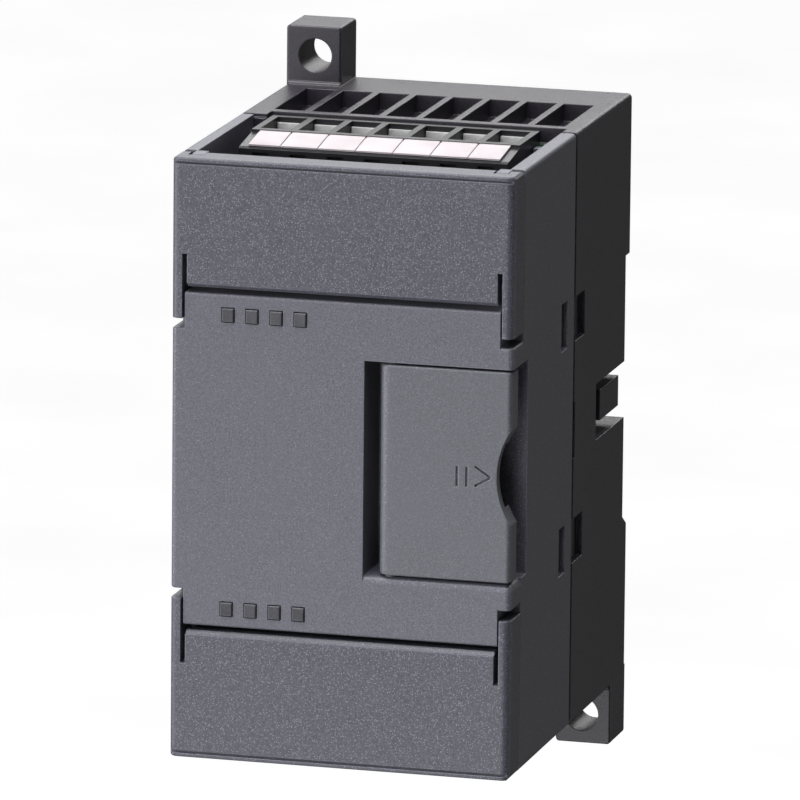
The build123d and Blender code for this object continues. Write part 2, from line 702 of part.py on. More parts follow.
def inductor():
    x, z = 12.5, 8.5
    body = slab(x - 4.6, x + 4.6, main_board_depth - 4.8, main_board_depth, z - 4.6, z + 4.6)
    body = fillet(body.edges().filter_by(Axis.Y), 1.2)
    waist_end = main_board_depth - 4.2
    return body - (rod_y(x, z, 3.9, 20, waist_end) - rod_y(x, z, 2.4, 20, waist_end))


def output_stage():
    """Optocouplers between the logic and the output side of the main board."""
    return [chip(x, 15.0, 6.4, 6.0, 3.4, main_board_depth) for x in (-10.5, -2.0)]


def output_leads():
    found = []
    for x in (-10.5, -2.0):
        found += leads(x, 15.0, 6.4, 6.0, main_board_depth, 3, 1.9)
    return found


def converter_places():
    return ((-7.5, 11.0), (-7.5, -11.0))


def converters():
    """The two digital-to-analogue converters on the logic board."""
    return [chip(x, z, 7.5, 9.0, 2.4, logic_board_depth) for x, z in converter_places()]


def logic_leads():
    found = leads(-7.5, 0.0, 8.0, 8.0, logic_board_depth, 8, 0.9)
    for x, z in converter_places():
        found += leads(x, z, 7.5, 9.0, logic_board_depth, 6, 1.27)
    return found


def group(shapes):
    """Separate solids kept together in one node."""
    return Compound(children=[s for shape in shapes for s in shape.solids()])


def flipped(shape):
    """The lower terminals' copy of an upper part."""
    return mirror(shape, about=Plane.XY)


def all_parts():
    """Every node's name with its shape."""
    parts = {
        "front_housing": front_housing(),
        "rear_base": rear_base(),
        "upper_cover": upper_cover(),
        "lower_cover": lower_cover(),
        "port_door": port_door(),
        "rail_clip": rail_clip(),
        "upper_terminal_block": terminal_body(),
        "lower_terminal_block": flipped(terminal_body()),
        "upper_label_strip": label_strip(),
        "lower_label_strip": flipped(label_strip()),
        "upper_contacts": group([contact(x) for x in pole_places()]),
        "lower_contacts": group([flipped(contact(x)) for x in pole_places()]),
        "logic_board": logic_board(),
        "main_board": main_board(),
        "port_header": header_body(),
        "port_header_pins": group(header_pins(0.0)),
        "board_stacker": board_stacker(),
        "board_stacker_pins": group(stacker_pins(0.0)),
        "cable_header": cable_header(),
        "window_tiles": group([window_tile(window_x + k * window_pitch, row_z)
                               for row_z in window_rows for k in range(4)]),
        "light_pipe": light_pipe(),
        "status_light": status_light(),
        "logic_chip": chip(-7.5, 0.0, 8.0, 8.0, 1.5, logic_board_depth),
        "converter_chips": group(converters()),
        "logic_board_leads": group(logic_leads()),
        "transformer_core": transformer_core(),
        "transformer_winding": transformer_winding(),
        "filter_capacitors": group(capacitors()),
        "power_inductor": inductor(),
        "optocouplers": group(output_stage()),
        "optocoupler_leads": group(output_leads()),
    }
    for k, x in enumerate(pole_places(), start=1):
        parts[f"upper_screw_{k}"] = clamp_screw(x)
        parts[f"upper_clamp_{k}"] = clamp(x)
        parts[f"lower_screw_{k}"] = flipped(clamp_screw(x))
        parts[f"lower_clamp_{k}"] = flipped(clamp(x))
    return parts


os.makedirs("parts", exist_ok=True)
for node, shape in all_parts().items():
    export_step(shape, f"parts/{node}.step")
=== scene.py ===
import math

import bmesh
import bpy
from bpy.props import FloatProperty, FloatVectorProperty, IntProperty, PointerProperty
from bpy.types import Operator, Panel, PropertyGroup
from mathutils import Color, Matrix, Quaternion, Vector


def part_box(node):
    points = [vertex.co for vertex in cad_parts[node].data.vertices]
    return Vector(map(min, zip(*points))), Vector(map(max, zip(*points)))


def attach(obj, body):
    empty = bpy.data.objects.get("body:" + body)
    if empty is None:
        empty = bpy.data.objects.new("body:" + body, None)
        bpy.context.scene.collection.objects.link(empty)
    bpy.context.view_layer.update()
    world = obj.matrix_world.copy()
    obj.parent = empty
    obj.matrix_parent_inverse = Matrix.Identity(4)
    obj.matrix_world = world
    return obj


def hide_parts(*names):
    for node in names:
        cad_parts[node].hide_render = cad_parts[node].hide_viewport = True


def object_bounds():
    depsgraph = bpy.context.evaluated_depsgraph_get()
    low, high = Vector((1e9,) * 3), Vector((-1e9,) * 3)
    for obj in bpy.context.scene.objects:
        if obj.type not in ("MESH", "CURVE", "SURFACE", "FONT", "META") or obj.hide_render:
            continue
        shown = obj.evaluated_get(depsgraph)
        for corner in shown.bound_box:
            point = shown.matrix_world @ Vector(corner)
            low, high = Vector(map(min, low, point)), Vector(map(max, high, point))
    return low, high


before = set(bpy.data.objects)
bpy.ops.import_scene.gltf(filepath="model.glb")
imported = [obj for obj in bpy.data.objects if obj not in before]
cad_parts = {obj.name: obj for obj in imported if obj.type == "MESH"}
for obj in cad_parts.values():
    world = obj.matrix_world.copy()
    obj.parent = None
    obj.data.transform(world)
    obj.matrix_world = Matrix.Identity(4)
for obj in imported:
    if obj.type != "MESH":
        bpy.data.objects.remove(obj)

bl_info = {
    "name": "Rail Module Studio",
    "version": (1, 0, 0),
    "blender": (4, 5, 0),
    "location": "3D View > Sidebar > Rail Module",
    "description": "Finishes, fine pieces and studio of a slim rail-mounted expansion module",
    "category": "Object",
}

CAD_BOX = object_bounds()
MM = 0.001
HOUSING = "housing"
ROWS = ("upper", "lower")
POLES = range(1, 8)


# ---- settings ----

def colour_property(name, description, default):
    return FloatVectorProperty(name=name, description=description, default=default, size=3,
                               min=0.0, max=1.0, subtype="COLOR")


def length_property(name, description, default):
    return FloatProperty(name=name, description=description, default=default, min=0.0,
                         subtype="DISTANCE", unit="LENGTH", precision=5)


def share_property(name, description, default):
    return FloatProperty(name=name, description=description, default=default, min=0.0, max=1.0,
                         subtype="FACTOR")


def angle_property(name, description, degrees):
    return FloatProperty(name=name, description=description, default=math.radians(degrees),
                         subtype="ANGLE", unit="ROTATION")


def power_property(name, description, default):
    return FloatProperty(name=name, description=description, default=default, min=0.0,
                         subtype="POWER", unit="POWER")


class ModulePlastics(PropertyGroup):
    """Colours and spark texture of the mouldings."""
    housing: colour_property("Front housing", "Plastic of the front housing", (0.098, 0.097, 0.122))
    base: colour_property("Rear base", "Plastic of the rear base", (0.022, 0.0195, 0.027))
    cover: colour_property("Covers", "Plastic of the two terminal covers", (0.066, 0.066, 0.086))
    door: colour_property("Port door", "Plastic of the expansion port door", (0.096, 0.1, 0.118))
    clip: colour_property("Rail clip", "Plastic of the sliding rail clip", (0.03, 0.03, 0.036))
    terminal: colour_property("Terminal blocks", "Plastic of the terminal blocks", (0.009, 0.009, 0.011))
    window: colour_property("Window tiles", "Smoked plastic of the indicator windows", (0.05, 0.05, 0.06))
    label: colour_property("Label fields", "White of the marking strips", (0.44, 0.395, 0.415))
    connector: colour_property("Connectors", "Plastic of the internal connectors", (0.018, 0.018, 0.02))
    roughness: share_property("Roughness", "Roughness of the spark-textured faces", 0.41)
    cover_grain: length_property("Cover grain", "Size of the texture grain on the covers", 0.2 * MM)
    housing_grain: length_property("Housing grain", "Size of the texture grain on the housing", 0.22 * MM)
    grain_depth: length_property("Grain depth", "Height of the texture grain", 0.03 * MM)
    edge_radius: length_property("Edge radius", "Softening seen along every moulded edge", 0.22 * MM)


class ModuleMetals(PropertyGroup):
    """Colours of the metal and board pieces."""
    clamp: colour_property("Clamps", "Nickel of the wire clamps", (0.72, 0.72, 0.72))
    screw: colour_property("Screws", "Zinc of the terminal screws", (0.62, 0.62, 0.6))
    tin: colour_property("Tin", "Tinned contacts and legs", (0.7, 0.7, 0.68))
    gold: colour_property("Pins", "Gold flash of the connector pins", (0.8, 0.58, 0.22))
    copper: colour_property("Track", "Copper under the board's varnish", (0.03, 0.13, 0.055))
    varnish: colour_property("Varnish", "Green varnish of the boards", (0.006, 0.06, 0.024))
    epoxy: colour_property("Epoxy", "Moulded chip bodies", (0.017, 0.017, 0.018))
    sleeve: colour_property("Sleeve", "Shrink sleeve of the capacitors", (0.02, 0.03, 0.09))
    tape: colour_property("Tape", "Tape round the transformer winding", (0.72, 0.42, 0.04))
    ferrite: colour_property("Ferrite", "Sintered cores", (0.035, 0.033, 0.034))
    lamp: colour_property("Lamp", "Lens of the status light", (0.2, 0.55, 0.18))


class ModuleSizes(PropertyGroup):
    """Sizes of the fine pieces."""
    thread_pitch: length_property("Thread pitch", "Pitch of the terminal screws", 0.5 * MM)
    thread_depth: length_property("Thread depth", "Height of the thread above its root", 0.12 * MM)
    field_pitch: length_property("Field pitch", "From one label field to the next, as the poles", 5.08 * MM)
    first_seam: length_property("First seam", "Place of the leftmost seam between two fields", 13.46 * MM)
    field_gap: length_property("Field gap", "Gap between two label fields", 0.22 * MM)
    field_rise: length_property("Field rise", "Height of a label field's crown", 0.1 * MM)
    strip_drop: length_property("Strip drop", "How much lower the strip's front edge lies", 0.8 * MM)
    joint_height: length_property("Solder height", "Height of a solder joint over the board", 0.7 * MM)
    screw_head: length_property("Screw head", "Height of a terminal screw's head", 1.95 * MM)
    shank_radius: length_property("Shank radius", "Radius of a terminal screw over its thread", 1.2 * MM)
    recess_width: length_property("Recess width", "Width of the slot and of the cross recess", 0.7 * MM)
    recess_depth: length_property("Recess depth", "Depth of the slot and of the cross recess", 0.9 * MM)
    round_steps: IntProperty(name="Round steps", description="Sides of the turned pieces",
                             default=48, min=12)


class ModuleStage(PropertyGroup):
    """Camera, floor and lights."""
    azimuth: angle_property("Azimuth", "How far the camera stands to the module's right", 15.2)
    elevation: angle_property("Elevation", "How far the camera looks down", 12.28)
    roll: angle_property("Roll", "Turn of the camera about its own axis, anticlockwise", 0.55)
    distance: length_property("Distance", "From the camera to its aim", 1.468)
    lens: FloatProperty(name="Lens", description="Focal length of the camera in millimetres",
                        default=499.0, min=1.0)
    floor_drop: length_property("Floor drop", "From the lowest point down to the floor", 0.3)
    floor_radius: length_property("Floor radius", "Radius of the floor", 9.0)
    key: power_property("Key light", "Large soft light, front left", 6.6)
    overhead: power_property("Overhead light", "Soft light straight above", 8.5)
    back: power_property("Back light", "Wide soft light low over the back", 5.0)
    rim: power_property("Rim light", "Soft light on the left, along the front", 5.0)
    bounce: power_property("Bounce light", "Near weak light coming up off the floor in front", 0.62)
    side: power_property("Side light", "Weak wide light on the right, behind and low", 0.6)
    surround: FloatProperty(name="Surround", description="Strength of the even light all round",
                            default=0.07, min=0.0)


GROUPS = {"module_plastics": ModulePlastics, "module_metals": ModuleMetals,
          "module_sizes": ModuleSizes, "module_stage": ModuleStage}


# ---- material building ----

class Surface:
    """A node material under construction."""

    def __init__(self, name):
        self.material = bpy.data.materials.new(name)
        self.material.use_nodes = True
        self.tree = self.material.node_tree
        self.shader = self.tree.nodes["Principled BSDF"]
        self.place = self.add("ShaderNodeTexCoord").outputs["Object"]

    def add(self, kind, **values):
        """A node with its settings and unlinked inputs."""
        node = self.tree.nodes.new(kind)
        for name, value in values.items():
            if name in node.inputs:
                node.inputs[name].default_value = value
            else:
                setattr(node, name, value)
        return node

    def link(self, source, target):
        self.tree.links.new(source, target)

    def set(self, **values):
        """Plain values on the shader's own sockets."""
        for name, value in values.items():
            self.shader.inputs[name.replace("_", " ")].default_value = value

    def noise(self, size, detail=2.0, roughness=0.5, source=None):
        node = self.add("ShaderNodeTexNoise", Scale=1.0 / size, Detail=detail, Roughness=roughness)
        self.link(source or self.place, node.inputs["Vector"])
        return node.outputs["Fac"]

    def cells(self, size, output="Distance"):
        node = self.add("ShaderNodeTexVoronoi", Scale=1.0 / size)
        self.link(self.place, node.inputs["Vector"])
        return node.outputs[output]

    def ramp(self, value, low, high, at=(0.0, 1.0)):
        """A grey ramp from low to high between two places."""
        node = self.add("ShaderNodeValToRGB")
        ends = node.color_ramp.elements
        for end, place, grey in zip(ends, at, (low, high)):
            end.position = place
            end.color = (grey, grey, grey, 1.0)
        self.link(value, node.inputs["Fac"])
        return node.outputs["Color"]

    def blend(self, share, first, second):
        """Mix of two colours, each plain or from a node."""
        node = self.add("ShaderNodeMix", data_type="RGBA")
        for value, socket in ((share, node.inputs[0]), (first, node.inputs[6]), (second, node.inputs[7])):
            if isinstance(value, (tuple, Color)):
                socket.default_value = (*value, 1.0)
            elif isinstance(value, float):
                socket.default_value = value
            else:
                self.link(value, socket)
        return node.outputs[2]

    def math(self, operation, first, second):
        node = self.add("ShaderNodeMath", operation=operation)
        for value, socket in ((first, node.inputs[0]), (second, node.inputs[1])):
            if isinstance(value, (int, float)):
                socket.default_value = value
            else:
                self.link(value, socket)
        return node.outputs[0]

    def stretch(self, scale):
        """The place coordinates stretched along some axes."""
        node = self.add("ShaderNodeMapping")
        node.inputs["Scale"].default_value = scale
        self.link(self.place, node.inputs["Vector"])
        return node.outputs["Vector"]

    def relief(self, height, depth, strength, edge=0.0):
        """Bump from a height, over edges softened by a small radius."""
        bump = self.add("ShaderNodeBump", Strength=strength, Distance=depth)
        self.link(height, bump.inputs["Height"])
        if edge:
            soft = self.add("ShaderNodeBevel", samples=6, Radius=edge)
            self.link(soft.outputs["Normal"], bump.inputs["Normal"])
        self.link(bump.outputs["Normal"], self.shader.inputs["Normal"])

    def edge_mask(self, radius):
        """White where a face turns within this radius, black on the flat."""
        soft = self.add("ShaderNodeBevel", samples=4, Radius=radius)
        straight = self.add("ShaderNodeNewGeometry").outputs["Normal"]
        turn = self.add("ShaderNodeVectorMath", operation="DOT_PRODUCT")
        self.link(soft.outputs["Normal"], turn.inputs[0])
        self.link(straight, turn.inputs[1])
        return self.ramp(turn.outputs["Value"], 1.0, 0.0, at=(0.8, 0.995))

    def finish(self, colour, roughness):
        self.link(colour, self.shader.inputs["Base Color"])
        self.link(roughness, self.shader.inputs["Roughness"])
        return self.material


def shade(colour, factor):
    return tuple(min(1.0, channel * factor) for channel in colour)


def spark_plastic(name, colour, grain, plastics, grain_and_glint=1.0, gloss=0.0):
    """Spark-eroded moulding: fine pitted grain, pale flecks painted as glints, faint flow clouds, and edges
    lightened by rubbed wear and a painted highlight.
    """
    s = Surface(name)
    fine = s.noise(grain, detail=3.0, roughness=0.65)
    pits = s.cells(grain * 1.2)
    clouds = s.noise(14 * MM)
    low, high = 1.0 - 0.3 * grain_and_glint, 1.0 + 0.3 * grain_and_glint
    body = s.blend(s.ramp(fine, 0.0, 1.0, at=(0.35, 0.65)), shade(colour, low), shade(colour, high))
    body = s.blend(s.ramp(clouds, 0.0, 0.3, at=(0.35, 0.7)), body, shade(colour, 1.1))
    # Pale flecks: painted glints, bright dots put into the colour where the grain's facets would catch
    # light.
    dots = s.ramp(pits, 1.0, 0.0, at=(0.08, 0.4))
    chosen = s.ramp(s.cells(grain * 1.2, output="Color"), 0.0, 1.0, at=(0.5, 0.8))
    painted_glints = s.math("MULTIPLY", s.math("MULTIPLY", dots, chosen), 0.8 * grain_and_glint)
    body = s.blend(painted_glints, body, shade(colour, 3.6))
    # Edges lightened and made glossier: rubbed wear and a painted highlight along every moulded edge.
    wear_and_highlight = s.math("MULTIPLY", s.edge_mask(plastics.edge_radius), 0.6)
    body = s.blend(wear_and_highlight, body, shade(colour, 3.4))
    middle = plastics.roughness - gloss
    rough = s.ramp(fine, middle - 0.07, middle + 0.1, at=(0.3, 0.75))
    rough = s.blend(wear_and_highlight, rough, (0.16, 0.16, 0.16))
    height = s.math("ADD", s.math("MULTIPLY", fine, 0.7), s.math("MULTIPLY", pits, 0.5))
    s.relief(height, plastics.grain_depth, strength=0.8, edge=plastics.edge_radius)
    s.set(Specular_IOR_Level=0.5, IOR=1.52)
    return s.finish(body, rough)


def satin_plastic(name, colour, roughness=0.36):
    """Smoother technical plastic with a faint mould haze and soft edges lightened by rubbed wear and a
    painted highlight.
    """
    s = Surface(name)
    haze = s.noise(3.5 * MM, detail=3.0)
    fine = s.noise(0.22 * MM)
    body = s.blend(s.ramp(haze, 0.0, 1.0, at=(0.3, 0.7)), shade(colour, 0.85), shade(colour, 1.2))
    # Edges lightened: rubbed wear and a painted highlight along every edge.
    wear_and_highlight = s.math("MULTIPLY", s.edge_mask(0.15 * MM), 0.35)
    body = s.blend(wear_and_highlight, body, shade(colour, 1.7))
    rough = s.ramp(fine, roughness - 0.06, roughness + 0.1, at=(0.3, 0.7))
    s.relief(fine, 0.008 * MM, strength=0.7, edge=0.08 * MM)
    return s.finish(body, rough)


def label_plastic(name, colour):
    """White marking plastic, slightly darker in clouds, with faint fingerprints in its gloss."""
    s = Surface(name)
    clouds = s.noise(6 * MM, detail=3.0)
    fine = s.noise(0.3 * MM)
    body = s.blend(s.ramp(clouds, 0.0, 0.6, at=(0.4, 0.75)), colour, shade(colour, 0.9))
    rough = s.ramp(clouds, 0.32, 0.48, at=(0.35, 0.65))
    s.relief(fine, 0.006 * MM, strength=0.6)
    s.set(Subsurface_Weight=0.05, Subsurface_Radius=(0.4 * MM, 0.4 * MM, 0.3 * MM))
    return s.finish(body, rough)


def drawn_metal(name, colour, along=(1.0, 1.0, 0.05), roughness=0.3, metallic=1.0):
    """Plated metal with fine draw lines, small stains and a bright base."""
    s = Surface(name)
    lines = s.noise(0.06 * MM, detail=3.0, source=s.stretch(along))
    stain = s.noise(1.6 * MM, detail=4.0, roughness=0.6)
    body = s.blend(s.ramp(stain, 0.0, 1.0, at=(0.35, 0.7)), shade(colour, 0.72), colour)
    body = s.blend(s.ramp(lines, 0.0, 0.35, at=(0.3, 0.7)), body, shade(colour, 0.8))
    rough = s.ramp(lines, roughness - 0.08, roughness + 0.14, at=(0.25, 0.75))
    s.relief(lines, 0.006 * MM, strength=0.5, edge=0.06 * MM)
    s.set(Metallic=metallic)
    return s.finish(body, rough)


def board_laminate(name, metals):
    """Green varnished board: copper tracks in a loose grid, vias and the weave underneath."""
    s = Surface(name)
    weave = s.noise(0.4 * MM)
    grid = s.add("ShaderNodeTexBrick", offset=0.37, Scale=1.0 / (5.0 * MM))
    grid.inputs["Mortar Size"].default_value = 0.045
    grid.inputs["Brick Width"].default_value = 0.8
    grid.inputs["Row Height"].default_value = 0.34
    turned = s.add("ShaderNodeMapping")
    turned.inputs["Rotation"].default_value = (math.radians(90), 0, 0)
    s.link(s.place, turned.inputs["Vector"])
    s.link(turned.outputs["Vector"], grid.inputs["Vector"])
    varnish = metals.varnish
    tracks = s.ramp(grid.outputs["Fac"], 0.0, 1.0, at=(0.4, 0.6))
    vias = s.ramp(s.cells(2.2 * MM), 1.0, 0.0, at=(0.1, 0.14))
    body = s.blend(tracks, varnish, metals.copper)
    body = s.blend(s.math("MULTIPLY", vias, 0.7), body, metals.tin)
    body = s.blend(s.ramp(weave, 0.0, 0.3, at=(0.4, 0.7)), body, shade(varnish, 1.6))
    rough = s.ramp(weave, 0.2, 0.34, at=(0.3, 0.7))
    s.relief(s.math("ADD", tracks, s.math("MULTIPLY", weave, 0.2)), 0.02 * MM, strength=0.8)
    s.set(Coat_Weight=0.3, Coat_Roughness=0.15)
    return s.finish(body, rough)


def moulded_epoxy(name, colour):
    """Filled epoxy of a chip body: matt, with tiny glassy grains."""
    s = Surface(name)
    fine = s.noise(0.12 * MM, detail=3.0)
    grains = s.ramp(s.cells(0.2 * MM), 1.0, 0.0, at=(0.1, 0.3))
    body = s.blend(s.math("MULTIPLY", grains, 0.25), colour, shade(colour, 3.0))
    rough = s.ramp(fine, 0.5, 0.7, at=(0.3, 0.7))
    s.relief(fine, 0.01 * MM, strength=0.7, edge=0.05 * MM)
    return s.finish(body, rough)


def sintered_core(name, colour):
    """Ground ferrite: dull grey-black with grinding streaks."""
    s = Surface(name)
    streaks = s.noise(0.2 * MM, detail=3.0, source=s.stretch((0.08, 1.0, 1.0)))
    body = s.blend(s.ramp(streaks, 0.0, 1.0, at=(0.3, 0.7)), shade(colour, 0.8), shade(colour, 1.6))
    rough = s.ramp(streaks, 0.34, 0.55, at=(0.3, 0.7))
    s.relief(streaks, 0.01 * MM, strength=0.6, edge=0.1 * MM)
    return s.finish(body, rough)


def glossy_film(name, colour, wrinkle=1.0):
    """Thin glossy film, as tape or shrink sleeve, with soft wrinkles."""
    s = Surface(name)
    folds = s.noise(1.2 * MM, source=s.stretch((1.0, 1.0, 0.4)))
    body = s.blend(s.ramp(folds, 0.0, 1.0, at=(0.3, 0.7)), shade(colour, 0.85), shade(colour, 1.15))
    rough = s.ramp(folds, 0.16, 0.3, at=(0.3, 0.7))
    s.relief(folds, 0.05 * MM * wrinkle, strength=0.5, edge=0.08 * MM)
    s.set(Coat_Weight=0.25, Coat_Roughness=0.1)
    return s.finish(body, rough)


def clear_moulding(name, colour, weight):
    """Clear or tinted plastic with a slightly frosted skin."""
    s = Surface(name)
    frost = s.noise(0.3 * MM)
    body = s.blend(s.ramp(frost, 0.0, 0.5, at=(0.4, 0.7)), colour, shade(colour, 0.85))
    rough = s.ramp(frost, 0.18, 0.36, at=(0.3, 0.7))
    s.relief(frost, 0.01 * MM, strength=0.5)
    s.set(Transmission_Weight=weight, IOR=1.49)
    return s.finish(body, rough)


# ---- mesh building ----

def node_box(node):
    low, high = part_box(node)
    return Vector(low), Vector(high)


def put(name, mesh, body, material, stands_for=()):
    """A new piece in the scene, riding on a body, with its finish and the nodes it stands for."""
    piece = bpy.data.objects.new(name, mesh)
    bpy.context.scene.collection.objects.link(piece)
    if not mesh.materials:
        mesh.materials.append(material)
    if stands_for:
        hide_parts(*stands_for)
    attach(piece, body)
    return piece


def to_mesh(name, bm, angle=35.0):
    """Mesh from a bmesh, smooth except over sharp edges."""
    bmesh.ops.recalc_face_normals(bm, faces=bm.faces)
    mesh = bpy.data.meshes.new(name)
    bm.to_mesh(mesh)
    bm.free()
    for face in mesh.polygons:
        face.use_smooth = True
    mesh.set_sharp_from_angle(angle=math.radians(angle))
    return mesh


def bridge(bm, near_ring, far_ring):
    """Faces between two rings with the same number of corners."""
    count = len(near_ring)
    for k in range(count):
        following = (k + 1) % count
        bm.faces.new((near_ring[k], near_ring[following], far_ring[following], far_ring[k]))


def tube(bm, rings):
    """Closed body through a row of rings."""
    for near_ring, far_ring in zip(rings, rings[1:]):
        bridge(bm, near_ring, far_ring)
    bm.faces.new(rings[0])
    bm.faces.new(rings[-1])


def turned(bm, outline, steps, centre=(0.0, 0.0, 0.0)):
    """Closed body turned about the depth axis; its (radius, depth) points start and end on the axis."""
    rings = []
    for radius, depth in outline:
        if radius == 0.0:
            rings.append([bm.verts.new((centre[0], centre[1] + depth, centre[2]))])
            continue
        ring = []
        for k in range(steps):
            angle = 2 * math.pi * k / steps
            ring.append(bm.verts.new((centre[0] + radius * math.cos(angle), centre[1] + depth,
                                      centre[2] + radius * math.sin(angle))))
        rings.append(ring)
    for near_ring, far_ring in zip(rings, rings[1:]):
        if len(near_ring) == len(far_ring):
            bridge(bm, near_ring, far_ring)
            continue
        for k in range(steps):
            following = (k + 1) % steps
            if len(near_ring) == 1:
                bm.faces.new((near_ring[0], far_ring[k], far_ring[following]))
            else:
                bm.faces.new((near_ring[k], near_ring[following], far_ring[0]))


def quarter_round(inner, across, deep, steps):
    """Outline points of a quarter round, from beside its flat top out to its side."""
    angles = [math.pi / 2 * k / steps for k in range(1, steps + 1)]
    return [(inner + across * math.sin(angle), deep * (1 - math.cos(angle))) for angle in angles]


def face_centre(low, high):
    """Middle of a box's front face."""
    return (low.x + high.x) / 2, low.y, (low.z + high.z) / 2


def sharp_box(bm, low, high):
    """Box between two corners; returns its vertices."""
    made = bmesh.ops.create_cube(bm, size=1.0)["verts"]
    bmesh.ops.scale(bm, vec=Vector(high) - Vector(low), verts=made)
    bmesh.ops.translate(bm, vec=(Vector(low) + Vector(high)) / 2, verts=made)
    return made


def rounded_box(bm, low, high, radius, segments=3):
    """Box between two corners with every edge rounded."""
    edges = list({edge for vert in sharp_box(bm, low, high) for edge in vert.link_edges})
    bmesh.ops.bevel(bm, geom=edges, offset=radius, segments=segments, affect="EDGES", profile=0.5)


def carved(mesh, cutters):
    """The mesh with every cutter mesh taken out of it."""
    body = bpy.data.objects.new("body_to_carve", mesh)
    bpy.context.scene.collection.objects.link(body)
    tools = []
    for cutter in cutters:
        tool = bpy.data.objects.new("cutter", cutter)
        bpy.context.scene.collection.objects.link(tool)
        cut = body.modifiers.new("cut", "BOOLEAN")
        cut.operation = "DIFFERENCE"
        cut.solver = "EXACT"
        cut.object = tool
        tools.append(tool)
    view_layer = bpy.context.evaluated_depsgraph_get()
    result = bpy.data.meshes.new_from_object(body.evaluated_get(view_layer))
    for item in (body, *tools):
        bpy.data.objects.remove(item)
    return result


def box_mesh(low, high):
    bm = bmesh.new()
    sharp_box(bm, low, high)
    return to_mesh("cutter", bm)


def paint(node, material):
    """Puts the finish on a carried-over CAD node."""
    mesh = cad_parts[node].data
    mesh.materials.clear()
    mesh.materials.append(material)


# ---- housing, covers, door and clip ----

class RAILMODULE_OT_housing(Operator):
    """Finish the front housing and the rear base"""
    bl_idname = "railmodule.housing"
    bl_label = "Housing"

    def execute(self, context):
        plastics = context.scene.module_plastics
        paint("front_housing", spark_plastic("housing_skin", plastics.housing,
                                             plastics.housing_grain, plastics))
        paint("rear_base", spark_plastic("base_skin", plastics.base,
                                         plastics.housing_grain, plastics, grain_and_glint=0.6, gloss=0.08))
        return {"FINISHED"}


class RAILMODULE_OT_covers(Operator):
    """Finish the two terminal covers"""
    bl_idname = "railmodule.covers"
    bl_label = "Terminal Covers"

    def execute(self, context):
        plastics = context.scene.module_plastics
        skin = spark_plastic("cover_skin", plastics.cover, plastics.cover_grain, plastics, grain_and_glint=1.5)
        for row in ROWS:
            paint(f"{row}_cover", skin)
        return {"FINISHED"}


class RAILMODULE_OT_port_door(Operator):
    """Finish the door over the expansion port"""
    bl_idname = "railmodule.port_door"
    bl_label = "Port Door"

    def execute(self, context):
        plastics = context.scene.module_plastics
        paint("port_door", spark_plastic("door_skin", plastics.door, plastics.housing_grain,
                                         plastics, grain_and_glint=0.8))
        return {"FINISHED"}


class RAILMODULE_OT_rail_clip(Operator):
    """Finish the sliding rail clip"""
    bl_idname = "railmodule.rail_clip"
    bl_label = "Rail Clip"

    def execute(self, context):
        plastics = context.scene.module_plastics
        paint("rail_clip", spark_plastic("clip_skin", plastics.clip, plastics.housing_grain,
                                         plastics, grain_and_glint=0.5))
        return {"FINISHED"}


# ---- terminals ----

class RAILMODULE_OT_terminal_blocks(Operator):
    """Finish the terminal blocks, their clamps and their contact bars"""
    bl_idname = "railmodule.terminal_blocks"
    bl_label = "Terminal Blocks"

    def execute(self, context):
        plastics, metals = context.scene.module_plastics, context.scene.module_metals
        block = satin_plastic("terminal_skin", plastics.terminal)
        nickel = drawn_metal("clamp_nickel", metals.clamp, roughness=0.42, metallic=0.55)
        tin = drawn_metal("contact_tin", metals.tin, roughness=0.38)
        for row in ROWS:
            paint(f"{row}_terminal_block", block)
            paint(f"{row}_contacts", tin)
            for pole in POLES:
                paint(f"{row}_clamp_{pole}", nickel)
        return {"FINISHED"}


def screw_outline(head_radius, head_height):
    """Turned outline of a screw head, from its centre round to its underside."""
    rim, chamfer = 0.35 * MM, 0.1 * MM
    return [(0.0, 0.0), (head_radius - rim, 0.0), *quarter_round(head_radius - rim, rim, rim, 4),
            (head_radius, head_height - chamfer), (head_radius - chamfer, head_height), (0.0, head_height)]


def threaded_shank(bm, radius, depth, pitch, start, end, steps):
    """Shank whose surface follows a screw thread, closed by a flat root and a blunt point."""
    rows = max(8, round((end - start) / pitch * 10))
    rings = []
    for row in range(rows + 1):
        place = start + (end - start) * row / rows
        edge = min(1.0, (place - start) / pitch, (end - place) / pitch)
        ring = []
        for k in range(steps):
            phase = (place / pitch - k / steps) % 1.0
            crest = 1.0 - abs(2.0 * phase - 1.0)
            reach = radius - depth + depth * min(1.0, crest * 1.5) * max(0.0, edge)
            angle = 2 * math.pi * k / steps
            ring.append(bm.verts.new((reach * math.cos(angle), place, reach * math.sin(angle))))
        rings.append(ring)
    tube(bm, rings)


def terminal_screw_mesh(low, high, sizes):
    """Screw with rounded head, slot and cross recess and a cut thread, its head face at depth zero."""
    head_radius = (high.x - low.x) / 2
    head_height = sizes.screw_head
    length = high.y - low.y
    bm = bmesh.new()
    turned(bm, screw_outline(head_radius, head_height), sizes.round_steps)
    head = to_mesh("screw_head", bm)
    reach, cross_reach = head_radius * 1.2, 1.2 * MM
    half, sunk = sizes.recess_width / 2, sizes.recess_depth
    slot = box_mesh((-reach, -MM, -half), (reach, sunk, half))
    cross = box_mesh((-half, -MM, -cross_reach), (half, sunk, cross_reach))
    bm = bmesh.new()
    bm.from_mesh(carved(head, [slot, cross]))
    threaded_shank(bm, sizes.shank_radius, sizes.thread_depth, sizes.thread_pitch, head_height - 0.05 * MM,
                   length, sizes.round_steps // 2)
    return to_mesh("terminal_screw", bm)


